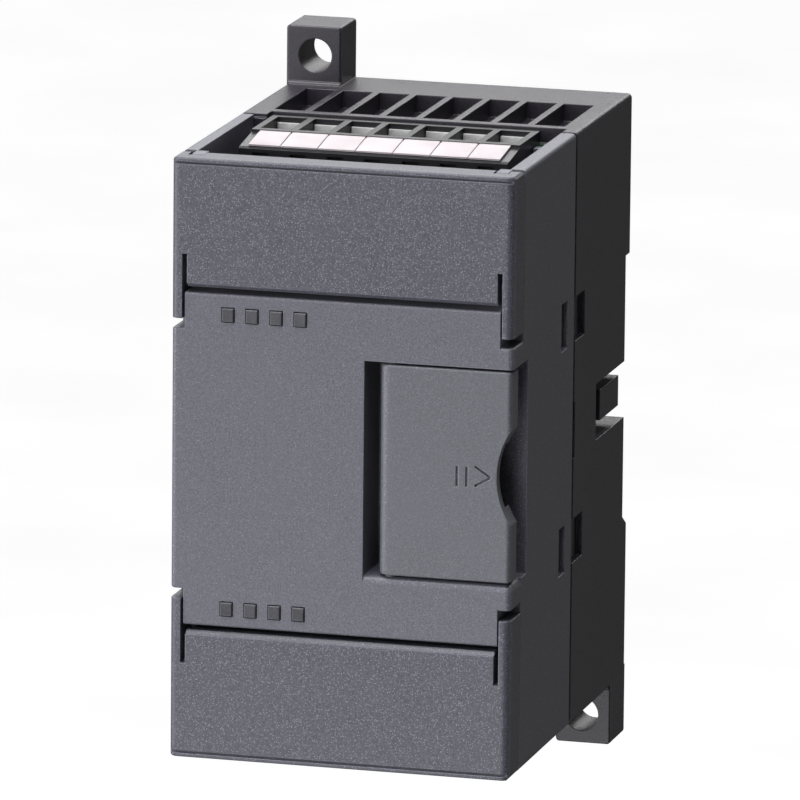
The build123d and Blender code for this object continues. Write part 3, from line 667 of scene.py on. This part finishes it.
class RAILMODULE_OT_terminal_screws(Operator):
    """Build the fourteen terminal screws with real threads and recesses"""
    bl_idname = "railmodule.terminal_screws"
    bl_label = "Terminal Screws"

    def execute(self, context):
        zinc = drawn_metal("screw_zinc", context.scene.module_metals.screw, along=(1.0, 0.2, 1.0))
        mesh = None
        for row in ROWS:
            for pole in POLES:
                node = f"{row}_screw_{pole}"
                low, high = node_box(node)
                mesh = mesh or terminal_screw_mesh(low, high, context.scene.module_sizes)
                piece = put(f"{row}_terminal_screw_{pole}", mesh, node, zinc, (node,))
                piece.location = face_centre(low, high)
        return {"FINISHED"}


# ---- label strips ----

def label_field(bm, corners, sizes):
    """One crowned field; corners gives left, right, front, rear and the heights of front and rear."""
    left, right, front, rear, front_z, rear_z = corners
    columns, rows, thickness = 8, 6, 0.22 * MM
    grid = []
    for i in range(columns + 1):
        line = []
        for j in range(rows + 1):
            u, v = i / columns, j / rows
            crown = min(1.0, min(u, 1 - u) * columns) * min(1.0, min(v, 1 - v) * rows)
            z = front_z + (rear_z - front_z) * v - sizes.field_rise * (1.0 - crown)
            line.append(bm.verts.new((left + (right - left) * u, front + (rear - front) * v, z)))
        grid.append(line)
    under = {}
    for i in range(columns + 1):
        for j in range(rows + 1):
            if i in (0, columns) or j in (0, rows):
                vert = grid[i][j]
                under[i, j] = bm.verts.new(vert.co - Vector((0, 0, thickness)))
    for i in range(columns):
        for j in range(rows):
            bm.faces.new((grid[i][j], grid[i + 1][j], grid[i + 1][j + 1], grid[i][j + 1]))
    border = ([(i, 0) for i in range(columns)] + [(columns, j) for j in range(rows)]
              + [(i, rows) for i in range(columns, 0, -1)] + [(0, j) for j in range(rows, 0, -1)])
    for here, there in zip(border, border[1:] + border[:1]):
        bm.faces.new((grid[here[0]][here[1]], under[here], under[there], grid[there[0]][there[1]]))
    bm.faces.new([under[place] for place in border])


class RAILMODULE_OT_label_strips(Operator):
    """Build the blank white marking strips, seven crowned fields on a carrier"""
    bl_idname = "railmodule.label_strips"
    bl_label = "Label Strips"

    def execute(self, context):
        plastics, sizes = context.scene.module_plastics, context.scene.module_sizes
        white = label_plastic("label_white", plastics.label)
        for row in ROWS:
            node = f"{row}_label_strip"
            low, high = node_box(node)
            if row == "lower":
                low, high = Vector((low.x, low.y, -high.z)), Vector((high.x, high.y, -low.z))
            slope = sizes.strip_drop / (high.y - low.y)
            seams = [k * sizes.field_pitch - sizes.first_seam for k in range(len(POLES) - 1)]
            half_gap = sizes.field_gap / 2
            lefts = [low.x] + [seam + half_gap for seam in seams]
            rights = [seam - half_gap for seam in seams] + [high.x]
            bm = bmesh.new()
            for left, right in zip(lefts, rights):
                label_field(bm, (left, right, low.y, high.y, high.z - sizes.strip_drop, high.z), sizes)
            rounded_box(bm, (low.x, low.y + 0.2 * MM, 0.0), (high.x, high.y - 0.2 * MM, 0.14 * MM),
                        0.03 * MM, 1)
            carrier = [vert for vert in bm.verts if vert.co.z < MM]
            under_fields = high.z - sizes.strip_drop - 0.38 * MM
            for vert in carrier:
                vert.co.z += under_fields + slope * (vert.co.y - low.y)
            if row == "lower":
                bmesh.ops.scale(bm, vec=(1.0, 1.0, -1.0), verts=bm.verts)
            put(f"{row}_label_fields", to_mesh(node, bm, angle=50.0), HOUSING, white,
                (node,))
        return {"FINISHED"}


# ---- boards, connectors and components ----

def solder_dome(bm, centre, pad, height, steps=16):
    """Solder joint: a concave cone from the pad up to the pin."""
    outline = [(0.0, 0.0), (pad, 0.0)]
    for k in range(1, 6):
        share = k / 5
        outline.append((pad * (1 - share) ** 1.8 + pad * 0.3 * share, height * share))
    turned(bm, outline + [(0.0, height)], steps, centre)


class RAILMODULE_OT_boards(Operator):
    """Finish both boards and add the solder joints on their backs"""
    bl_idname = "railmodule.boards"
    bl_label = "Boards"

    def execute(self, context):
        metals, sizes = context.scene.module_metals, context.scene.module_sizes
        laminate = board_laminate("board_varnish", metals)
        for node in ("logic_board", "main_board"):
            paint(node, laminate)
        solder = drawn_metal("solder_tin", metals.tin, along=(1.0, 1.0, 1.0), roughness=0.22)
        logic_back = node_box("logic_board")[1].y
        main_back = node_box("main_board")[1].y
        joints = {"logic": (logic_back, pin_places("port_header_pins")),
                  "main": (main_back, pin_places("board_stacker_pins") + contact_places())}
        for board, (back, places) in joints.items():
            bm = bmesh.new()
            for x, z in places:
                solder_dome(bm, (x, back, z), 0.85 * MM, sizes.joint_height)
            put(f"{board}_board_solder", to_mesh("solder", bm), HOUSING, solder)
        return {"FINISHED"}


def islands(node):
    """Middle and size of every separate solid of a node."""
    bm = bmesh.new()
    bm.from_mesh(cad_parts[node].data)
    bmesh.ops.remove_doubles(bm, verts=bm.verts, dist=1e-6)
    left, found = set(bm.verts), []
    while left:
        reach = [left.pop()]
        group = []
        while reach:
            vert = reach.pop()
            group.append(vert.co.copy())
            for edge in vert.link_edges:
                other = edge.other_vert(vert)
                if other in left:
                    left.discard(other)
                    reach.append(other)
        low = Vector([min(co[i] for co in group) for i in range(3)])
        high = Vector([max(co[i] for co in group) for i in range(3)])
        found.append((low, high))
    bm.free()
    return sorted(found, key=lambda pair: tuple(round(value, 6) for value in pair[0]))


def pin_places(node):
    """Where the upright pins of a node stand, as x and z."""
    return [((low.x + high.x) / 2, (low.z + high.z) / 2) for low, high in islands(node)]


def contact_places():
    """Where the contact bars' pins come through the main board."""
    found = []
    for row, side in zip(ROWS, (1.0, -1.0)):
        for low, high in islands(f"{row}_contacts"):
            edge = low.z if side > 0 else high.z
            found.append(((low.x + high.x) / 2, edge + side * 0.5 * MM))
    return found


class RAILMODULE_OT_connectors(Operator):
    """Build the pointed connector pins and finish the connector bodies"""
    bl_idname = "railmodule.connectors"
    bl_label = "Connectors"

    def execute(self, context):
        plastics, metals = context.scene.module_plastics, context.scene.module_metals
        body = satin_plastic("connector_skin", plastics.connector, roughness=0.45)
        for node in ("port_header", "board_stacker", "cable_header"):
            paint(node, body)
        gold = drawn_metal("pin_gold", metals.gold, along=(1.0, 0.05, 1.0), roughness=0.2)
        for node in ("port_header_pins", "board_stacker_pins"):
            bm = bmesh.new()
            for low, high in islands(node):
                pointed_pin(bm, low, high, 0.5 * MM)
            put(f"{node}_pointed", to_mesh(node, bm), HOUSING, gold, (node,))
        return {"FINISHED"}


def pointed_pin(bm, low, high, taper):
    """Square pin with tapered ends."""
    middle = (low + high) / 2
    half = (high.x - low.x) / 2
    rings = []
    for y, reach in ((low.y, 0.45), (low.y + taper, 1.0), (high.y - taper, 1.0), (high.y, 0.45)):
        corners = ((-1, -1), (1, -1), (1, 1), (-1, 1))
        rings.append([bm.verts.new((middle.x + sx * half * reach, y, middle.z + sz * half * reach))
                      for sx, sz in corners])
    tube(bm, rings)


def chip_body(bm, low, high, draft):
    """Moulded body with its parting line half way up and drafted sides."""
    middle_y = (low.y + high.y) / 2
    rings = []
    for y, inset in ((low.y, draft), (middle_y, 0.0), (high.y, draft)):
        rings.append([bm.verts.new(co) for co in (
            (low.x + inset, y, low.z + inset), (high.x - inset, y, low.z + inset),
            (high.x - inset, y, high.z - inset), (low.x + inset, y, high.z - inset))])
    tube(bm, rings)


def gull_leg(bm, low, high, side, body_mid):
    """Leg that leaves the body at its parting line, bends down and ends in a flat foot."""
    inner, outer = (low.x, high.x) if side > 0 else (high.x, low.x)
    foot = high.y
    thick, shoulder, knee = 0.14 * MM, side * 0.35 * MM, side * 0.55 * MM
    path = [(inner, body_mid), (inner + shoulder, body_mid), (inner + knee, foot - thick),
            (outer, foot - thick)]
    upper = [bm.verts.new((x, y, z)) for x, y in path for z in (low.z, high.z)]
    lower = [bm.verts.new((x, y + thick, z)) for x, y in path for z in (low.z, high.z)]
    for k in range(len(path) - 1):
        a, b = 2 * k, 2 * k + 2
        bm.faces.new((upper[a], upper[a + 1], upper[b + 1], upper[b]))
        bm.faces.new((lower[a], lower[b], lower[b + 1], lower[a + 1]))
        bm.faces.new((upper[a], upper[b], lower[b], lower[a]))
        bm.faces.new((upper[a + 1], lower[a + 1], lower[b + 1], upper[b + 1]))
    bm.faces.new((upper[0], lower[0], lower[1], upper[1]))
    bm.faces.new((upper[-2], upper[-1], lower[-1], lower[-2]))


class RAILMODULE_OT_chips(Operator):
    """Build the chips and optocouplers with drafted bodies and bent legs"""
    bl_idname = "railmodule.chips"
    bl_label = "Chips"

    def execute(self, context):
        metals = context.scene.module_metals
        epoxy = moulded_epoxy("chip_epoxy", metals.epoxy)
        tin = drawn_metal("leg_tin", metals.tin, along=(0.2, 1.0, 1.0))
        places = {node: islands(node) for node in ("logic_chip", "converter_chips", "optocouplers")}
        for node, solids in places.items():
            bm = bmesh.new()
            for low, high in solids:
                chip_body(bm, low, high, 0.25 * MM)
            bmesh.ops.bevel(bm, geom=list(bm.edges), offset=0.08 * MM, segments=2, affect="EDGES")
            put(f"{node}_moulded", to_mesh(node, bm), HOUSING, epoxy, (node,))
        legs = {"logic_board_leads": places["logic_chip"] + places["converter_chips"],
                "optocoupler_leads": places["optocouplers"]}
        for node, chips in legs.items():
            bm = bmesh.new()
            for low, high in islands(node):
                chip = min(chips, key=lambda box: chip_distance(box, low, high))
                side = 1 if (low.x + high.x) > (chip[0].x + chip[1].x) else -1
                gull_leg(bm, low, high, side, (chip[0].y + chip[1].y) / 2)
            put(f"{node}_bent", to_mesh(node, bm, angle=25.0), HOUSING, tin, (node,))
        return {"FINISHED"}


def chip_distance(box, low, high):
    middle = (low + high) / 2
    centre = (box[0] + box[1]) / 2
    return (middle.x - centre.x) ** 2 + (middle.z - centre.z) ** 2


class RAILMODULE_OT_power_parts(Operator):
    """Build the capacitors and the transformer winding and finish the cores"""
    bl_idname = "railmodule.power_parts"
    bl_label = "Power Parts"

    def execute(self, context):
        metals, sizes = context.scene.module_metals, context.scene.module_sizes
        core = sintered_core("ferrite_core", metals.ferrite)
        for node in ("transformer_core", "power_inductor"):
            paint(node, core)
        sleeve = glossy_film("capacitor_sleeve", metals.sleeve)
        bm = bmesh.new()
        for low, high in islands("filter_capacitors"):
            capacitor(bm, low, high, sizes.round_steps)
        put("filter_capacitor_cans", to_mesh("capacitors", bm), HOUSING, sleeve,
            ("filter_capacitors",))
        tape = glossy_film("winding_tape", metals.tape, wrinkle=1.5)
        low, high = node_box("transformer_winding")
        bm = bmesh.new()
        wound_coil(bm, low, high, node_box("transformer_core"))
        put("transformer_tape", to_mesh("winding", bm), HOUSING, tape,
            ("transformer_winding",))
        return {"FINISHED"}


def capacitor(bm, low, high, steps):
    """Can with a rounded shoulder, a pressed groove near its base and a sunk top."""
    radius = (high.x - low.x) / 2
    length = high.y - low.y
    shoulder, dent, groove_depth, foot, sunk = 0.6 * MM, 0.15 * MM, 0.35 * MM, 0.3 * MM, 0.25 * MM
    outline = [(0.0, sunk), (radius - shoulder - 2 * dent, sunk), (radius - shoulder - dent, 0.0),
               *quarter_round(radius - shoulder, shoulder, shoulder, 4)]
    groove = length - 2.3 * MM
    for k in range(7):
        bend = math.sin(math.pi * k / 6)
        outline.append((radius - groove_depth * bend, groove - 0.5 * MM + k / 6 * MM))
    outline += [(radius, length - foot), (radius - foot, length), (0.0, length)]
    turned(bm, outline, steps, face_centre(low, high))


def squared_ring(bm, centre, half_x, half_y, power, steps):
    """Ring between an ellipse and its box, nearer the box for a lower power."""
    ring = []
    for k in range(steps):
        angle = 2 * math.pi * k / steps
        c, s = math.cos(angle), math.sin(angle)
        x, y = half_x * math.copysign(abs(c) ** power, c), half_y * math.copysign(abs(s) ** power, s)
        ring.append(bm.verts.new((centre[0] + x, centre[1] + y, centre[2])))
    return ring


def wound_coil(bm, low, high, core):
    """Tape-wrapped winding: a rounded ring about the core's middle leg, wound in shallow layers."""
    centre = (low + high) / 2
    leg_reach, spare, tape_step, tape_edge = 1.95 * MM, 0.05 * MM, 0.12 * MM, 0.5 * MM
    layers, steps, power = 6, 40, 0.45
    half_x, half_y = (high.x - low.x) / 2 - spare, (high.y - low.y) / 2 - spare
    outer = []
    for layer in range(layers + 1):
        z = low.z + spare + (high.z - low.z - 2 * spare) * layer / layers
        outer.append(squared_ring(bm, (centre.x, centre.y, z), half_x - tape_step,
                                  half_y - tape_step, power, steps))
        if layer < layers:
            outer.append(squared_ring(bm, (centre.x, centre.y, z + tape_edge), half_x,
                                      half_y, power, steps))
    core_half_y = (core[1].y - core[0].y) / 2 + spare
    core_centre_y = (core[0].y + core[1].y) / 2
    inner = [squared_ring(bm, (centre.x, core_centre_y, z), leg_reach, core_half_y, 0.3, steps)
             for z in (outer[-1][0].co.z, outer[0][0].co.z)]
    loops = outer + inner
    for here, there in zip(loops, loops[1:] + loops[:1]):
        bridge(bm, here, there)


class RAILMODULE_OT_status_light(Operator):
    """Build the lamp's lens and finish the light pipe and the window tiles"""
    bl_idname = "railmodule.status_light"
    bl_label = "Status Light and Windows"

    def execute(self, context):
        metals, sizes = context.scene.module_metals, context.scene.module_sizes
        plastics = context.scene.module_plastics
        paint("window_tiles", satin_plastic("window_smoke", plastics.window, roughness=0.2))
        paint("light_pipe", clear_moulding("pipe_clear", (0.55, 0.58, 0.58), 0.5))
        low, high = node_box("status_light")
        bm = bmesh.new()
        base_height, radius = 0.75 * MM, 0.5 * MM
        rounded_box(bm, (low.x, high.y - base_height, low.z), high, 0.08 * MM)
        reach = high.y - low.y - base_height + 0.05 * MM
        outline = [(0.0, 0.0), *quarter_round(0.0, radius, 0.6 * reach, 6), (radius, reach), (0.0, reach)]
        turned(bm, outline, sizes.round_steps // 2, face_centre(low, high))
        lens = clear_moulding("lamp_lens", metals.lamp, 0.3)
        put("status_lamp", to_mesh("lamp", bm), HOUSING, lens, ("status_light",))
        return {"FINISHED"}


# ---- stage ----

def pale_floor(name):
    """Evenly lit white paper floor with the faintest fibre clouds."""
    s = Surface(name)
    fibre = s.noise(0.08, detail=3.0)
    body = s.ramp(fibre, 0.96, 1.0, at=(0.3, 0.7))
    rough = s.ramp(fibre, 0.75, 0.85, at=(0.3, 0.7))
    s.link(body, s.shader.inputs["Emission Color"])
    s.set(Specular_IOR_Level=0.1, Emission_Strength=0.97)
    return s.finish(s.blend(0.9, body, (0.1, 0.1, 0.1)), rough)


def soft_light(name, azimuth, elevation, distance, size, power, aim):
    """Rectangular soft light at an angle round the aim, turned to it."""
    lamp = bpy.data.lights.new(name, "AREA")
    lamp.shape = "RECTANGLE"
    lamp.size, lamp.size_y = size
    lamp.energy = power
    light = bpy.data.objects.new(name, lamp)
    bpy.context.scene.collection.objects.link(light)
    back = direction(azimuth, elevation)
    light.location = aim + back * distance
    light.rotation_mode = "QUATERNION"
    light.rotation_quaternion = (-back).to_track_quat("-Z", "Y")
    light.visible_camera = False


def direction(azimuth, elevation):
    """Unit vector from the module towards a place round it; azimuth is positive to its right."""
    return Vector((math.sin(azimuth) * math.cos(elevation), -math.cos(azimuth) * math.cos(elevation),
                   math.sin(elevation)))


# Place of each soft light: azimuth and elevation in degrees, distance and sides in metres.
LAMPS = {"key": (-28, 17, 1.0, (1.1, 1.1)), "overhead": (-12, 76, 0.8, (0.5, 0.5)),
         "back": (-165, 34, 0.9, (1.0, 0.5)), "rim": (-72, 8, 0.8, (0.45, 0.9)),
         "bounce": (-8, -42, 0.35, (0.3, 0.3)), "side": (128, -8, 0.9, (0.7, 0.7))}


class RAILMODULE_OT_stage(Operator):
    """Set the floor, the lights, the surround and the camera"""
    bl_idname = "railmodule.stage"
    bl_label = "Stage"

    def execute(self, context):
        scene, stage = context.scene, context.scene.module_stage
        self.make_floor(stage)
        aim = Vector((-0.6, -27.8, 2.7)) * MM
        for name, (azimuth, elevation, distance, sides) in LAMPS.items():
            soft_light(f"{name}_light", math.radians(azimuth), math.radians(elevation), distance, sides,
                       getattr(stage, name), aim)
        self.make_surround(scene, stage)
        camera = bpy.data.objects.new("camera", bpy.data.cameras.new("camera"))
        scene.collection.objects.link(camera)
        camera.data.lens = stage.lens
        camera.data.sensor_width = 36.0
        camera.data.clip_start, camera.data.clip_end = 0.1, 50.0
        back = direction(stage.azimuth, stage.elevation)
        camera.location = aim + back * stage.distance
        camera.rotation_mode = "QUATERNION"
        level = (-back).to_track_quat("-Z", "Y")
        camera.rotation_quaternion = level @ Quaternion((0, 0, 1), stage.roll)
        scene.camera = camera
        scene.view_settings.view_transform = "Standard"
        return {"FINISHED"}

    def make_floor(self, stage):
        bm = bmesh.new()
        bmesh.ops.create_circle(bm, cap_ends=True, radius=stage.floor_radius, segments=96)
        mesh = to_mesh("floor", bm)
        mesh.materials.append(pale_floor("floor_paper"))
        floor = bpy.data.objects.new("floor", mesh)
        floor.location.z = CAD_BOX[0].z - stage.floor_drop
        bpy.context.scene.collection.objects.link(floor)
        floor.visible_diffuse = floor.visible_glossy = floor.visible_transmission = False

    def make_surround(self, scene, stage):
        world = bpy.data.worlds.new("surround")
        world.use_nodes = True
        scene.world = world
        tree = world.node_tree
        even = tree.nodes["Background"]
        even.inputs["Color"].default_value = (1.0, 1.0, 1.0, 1.0)
        even.inputs["Strength"].default_value = stage.surround
        seen = tree.nodes.new("ShaderNodeBackground")
        seen.inputs["Color"].default_value = (1.0, 1.0, 1.0, 1.0)
        path = tree.nodes.new("ShaderNodeLightPath")
        mix = tree.nodes.new("ShaderNodeMixShader")
        tree.links.new(path.outputs["Is Camera Ray"], mix.inputs[0])
        tree.links.new(even.outputs[0], mix.inputs[1])
        tree.links.new(seen.outputs[0], mix.inputs[2])
        tree.links.new(mix.outputs[0], tree.nodes["World Output"].inputs["Surface"])


# ---- panel and registration ----

OPERATORS = (RAILMODULE_OT_housing, RAILMODULE_OT_covers, RAILMODULE_OT_port_door, RAILMODULE_OT_rail_clip,
             RAILMODULE_OT_terminal_blocks, RAILMODULE_OT_terminal_screws, RAILMODULE_OT_label_strips,
             RAILMODULE_OT_boards, RAILMODULE_OT_connectors, RAILMODULE_OT_chips,
             RAILMODULE_OT_power_parts, RAILMODULE_OT_status_light, RAILMODULE_OT_stage)


class RAILMODULE_PT_sidebar(Panel):
    """Lists the steps that finish the module"""
    bl_idname = "RAILMODULE_PT_sidebar"
    bl_label = "Rail Module"
    bl_space_type = "VIEW_3D"
    bl_region_type = "UI"
    bl_category = "Rail Module"

    def draw(self, context):
        for name in GROUPS:
            settings = getattr(context.scene, name)
            box = self.layout.box()
            for key in settings.bl_rna.properties.keys():
                if key not in ("rna_type", "name"):
                    box.prop(settings, key)
        for operator in OPERATORS:
            self.layout.operator(operator.bl_idname)


def register():
    for name, group in GROUPS.items():
        bpy.utils.register_class(group)
        setattr(bpy.types.Scene, name, PointerProperty(type=group))
    for operator in OPERATORS:
        bpy.utils.register_class(operator)
    bpy.utils.register_class(RAILMODULE_PT_sidebar)


def unregister():
    bpy.utils.unregister_class(RAILMODULE_PT_sidebar)
    for operator in reversed(OPERATORS):
        bpy.utils.unregister_class(operator)
    for name, group in reversed(list(GROUPS.items())):
        delattr(bpy.types.Scene, name)
        bpy.utils.unregister_class(group)


def main():
    register()
    for operator in OPERATORS:
        module, name = operator.bl_idname.split(".")
        getattr(getattr(bpy.ops, module), name)()


if __name__ == "__main__":
    main()
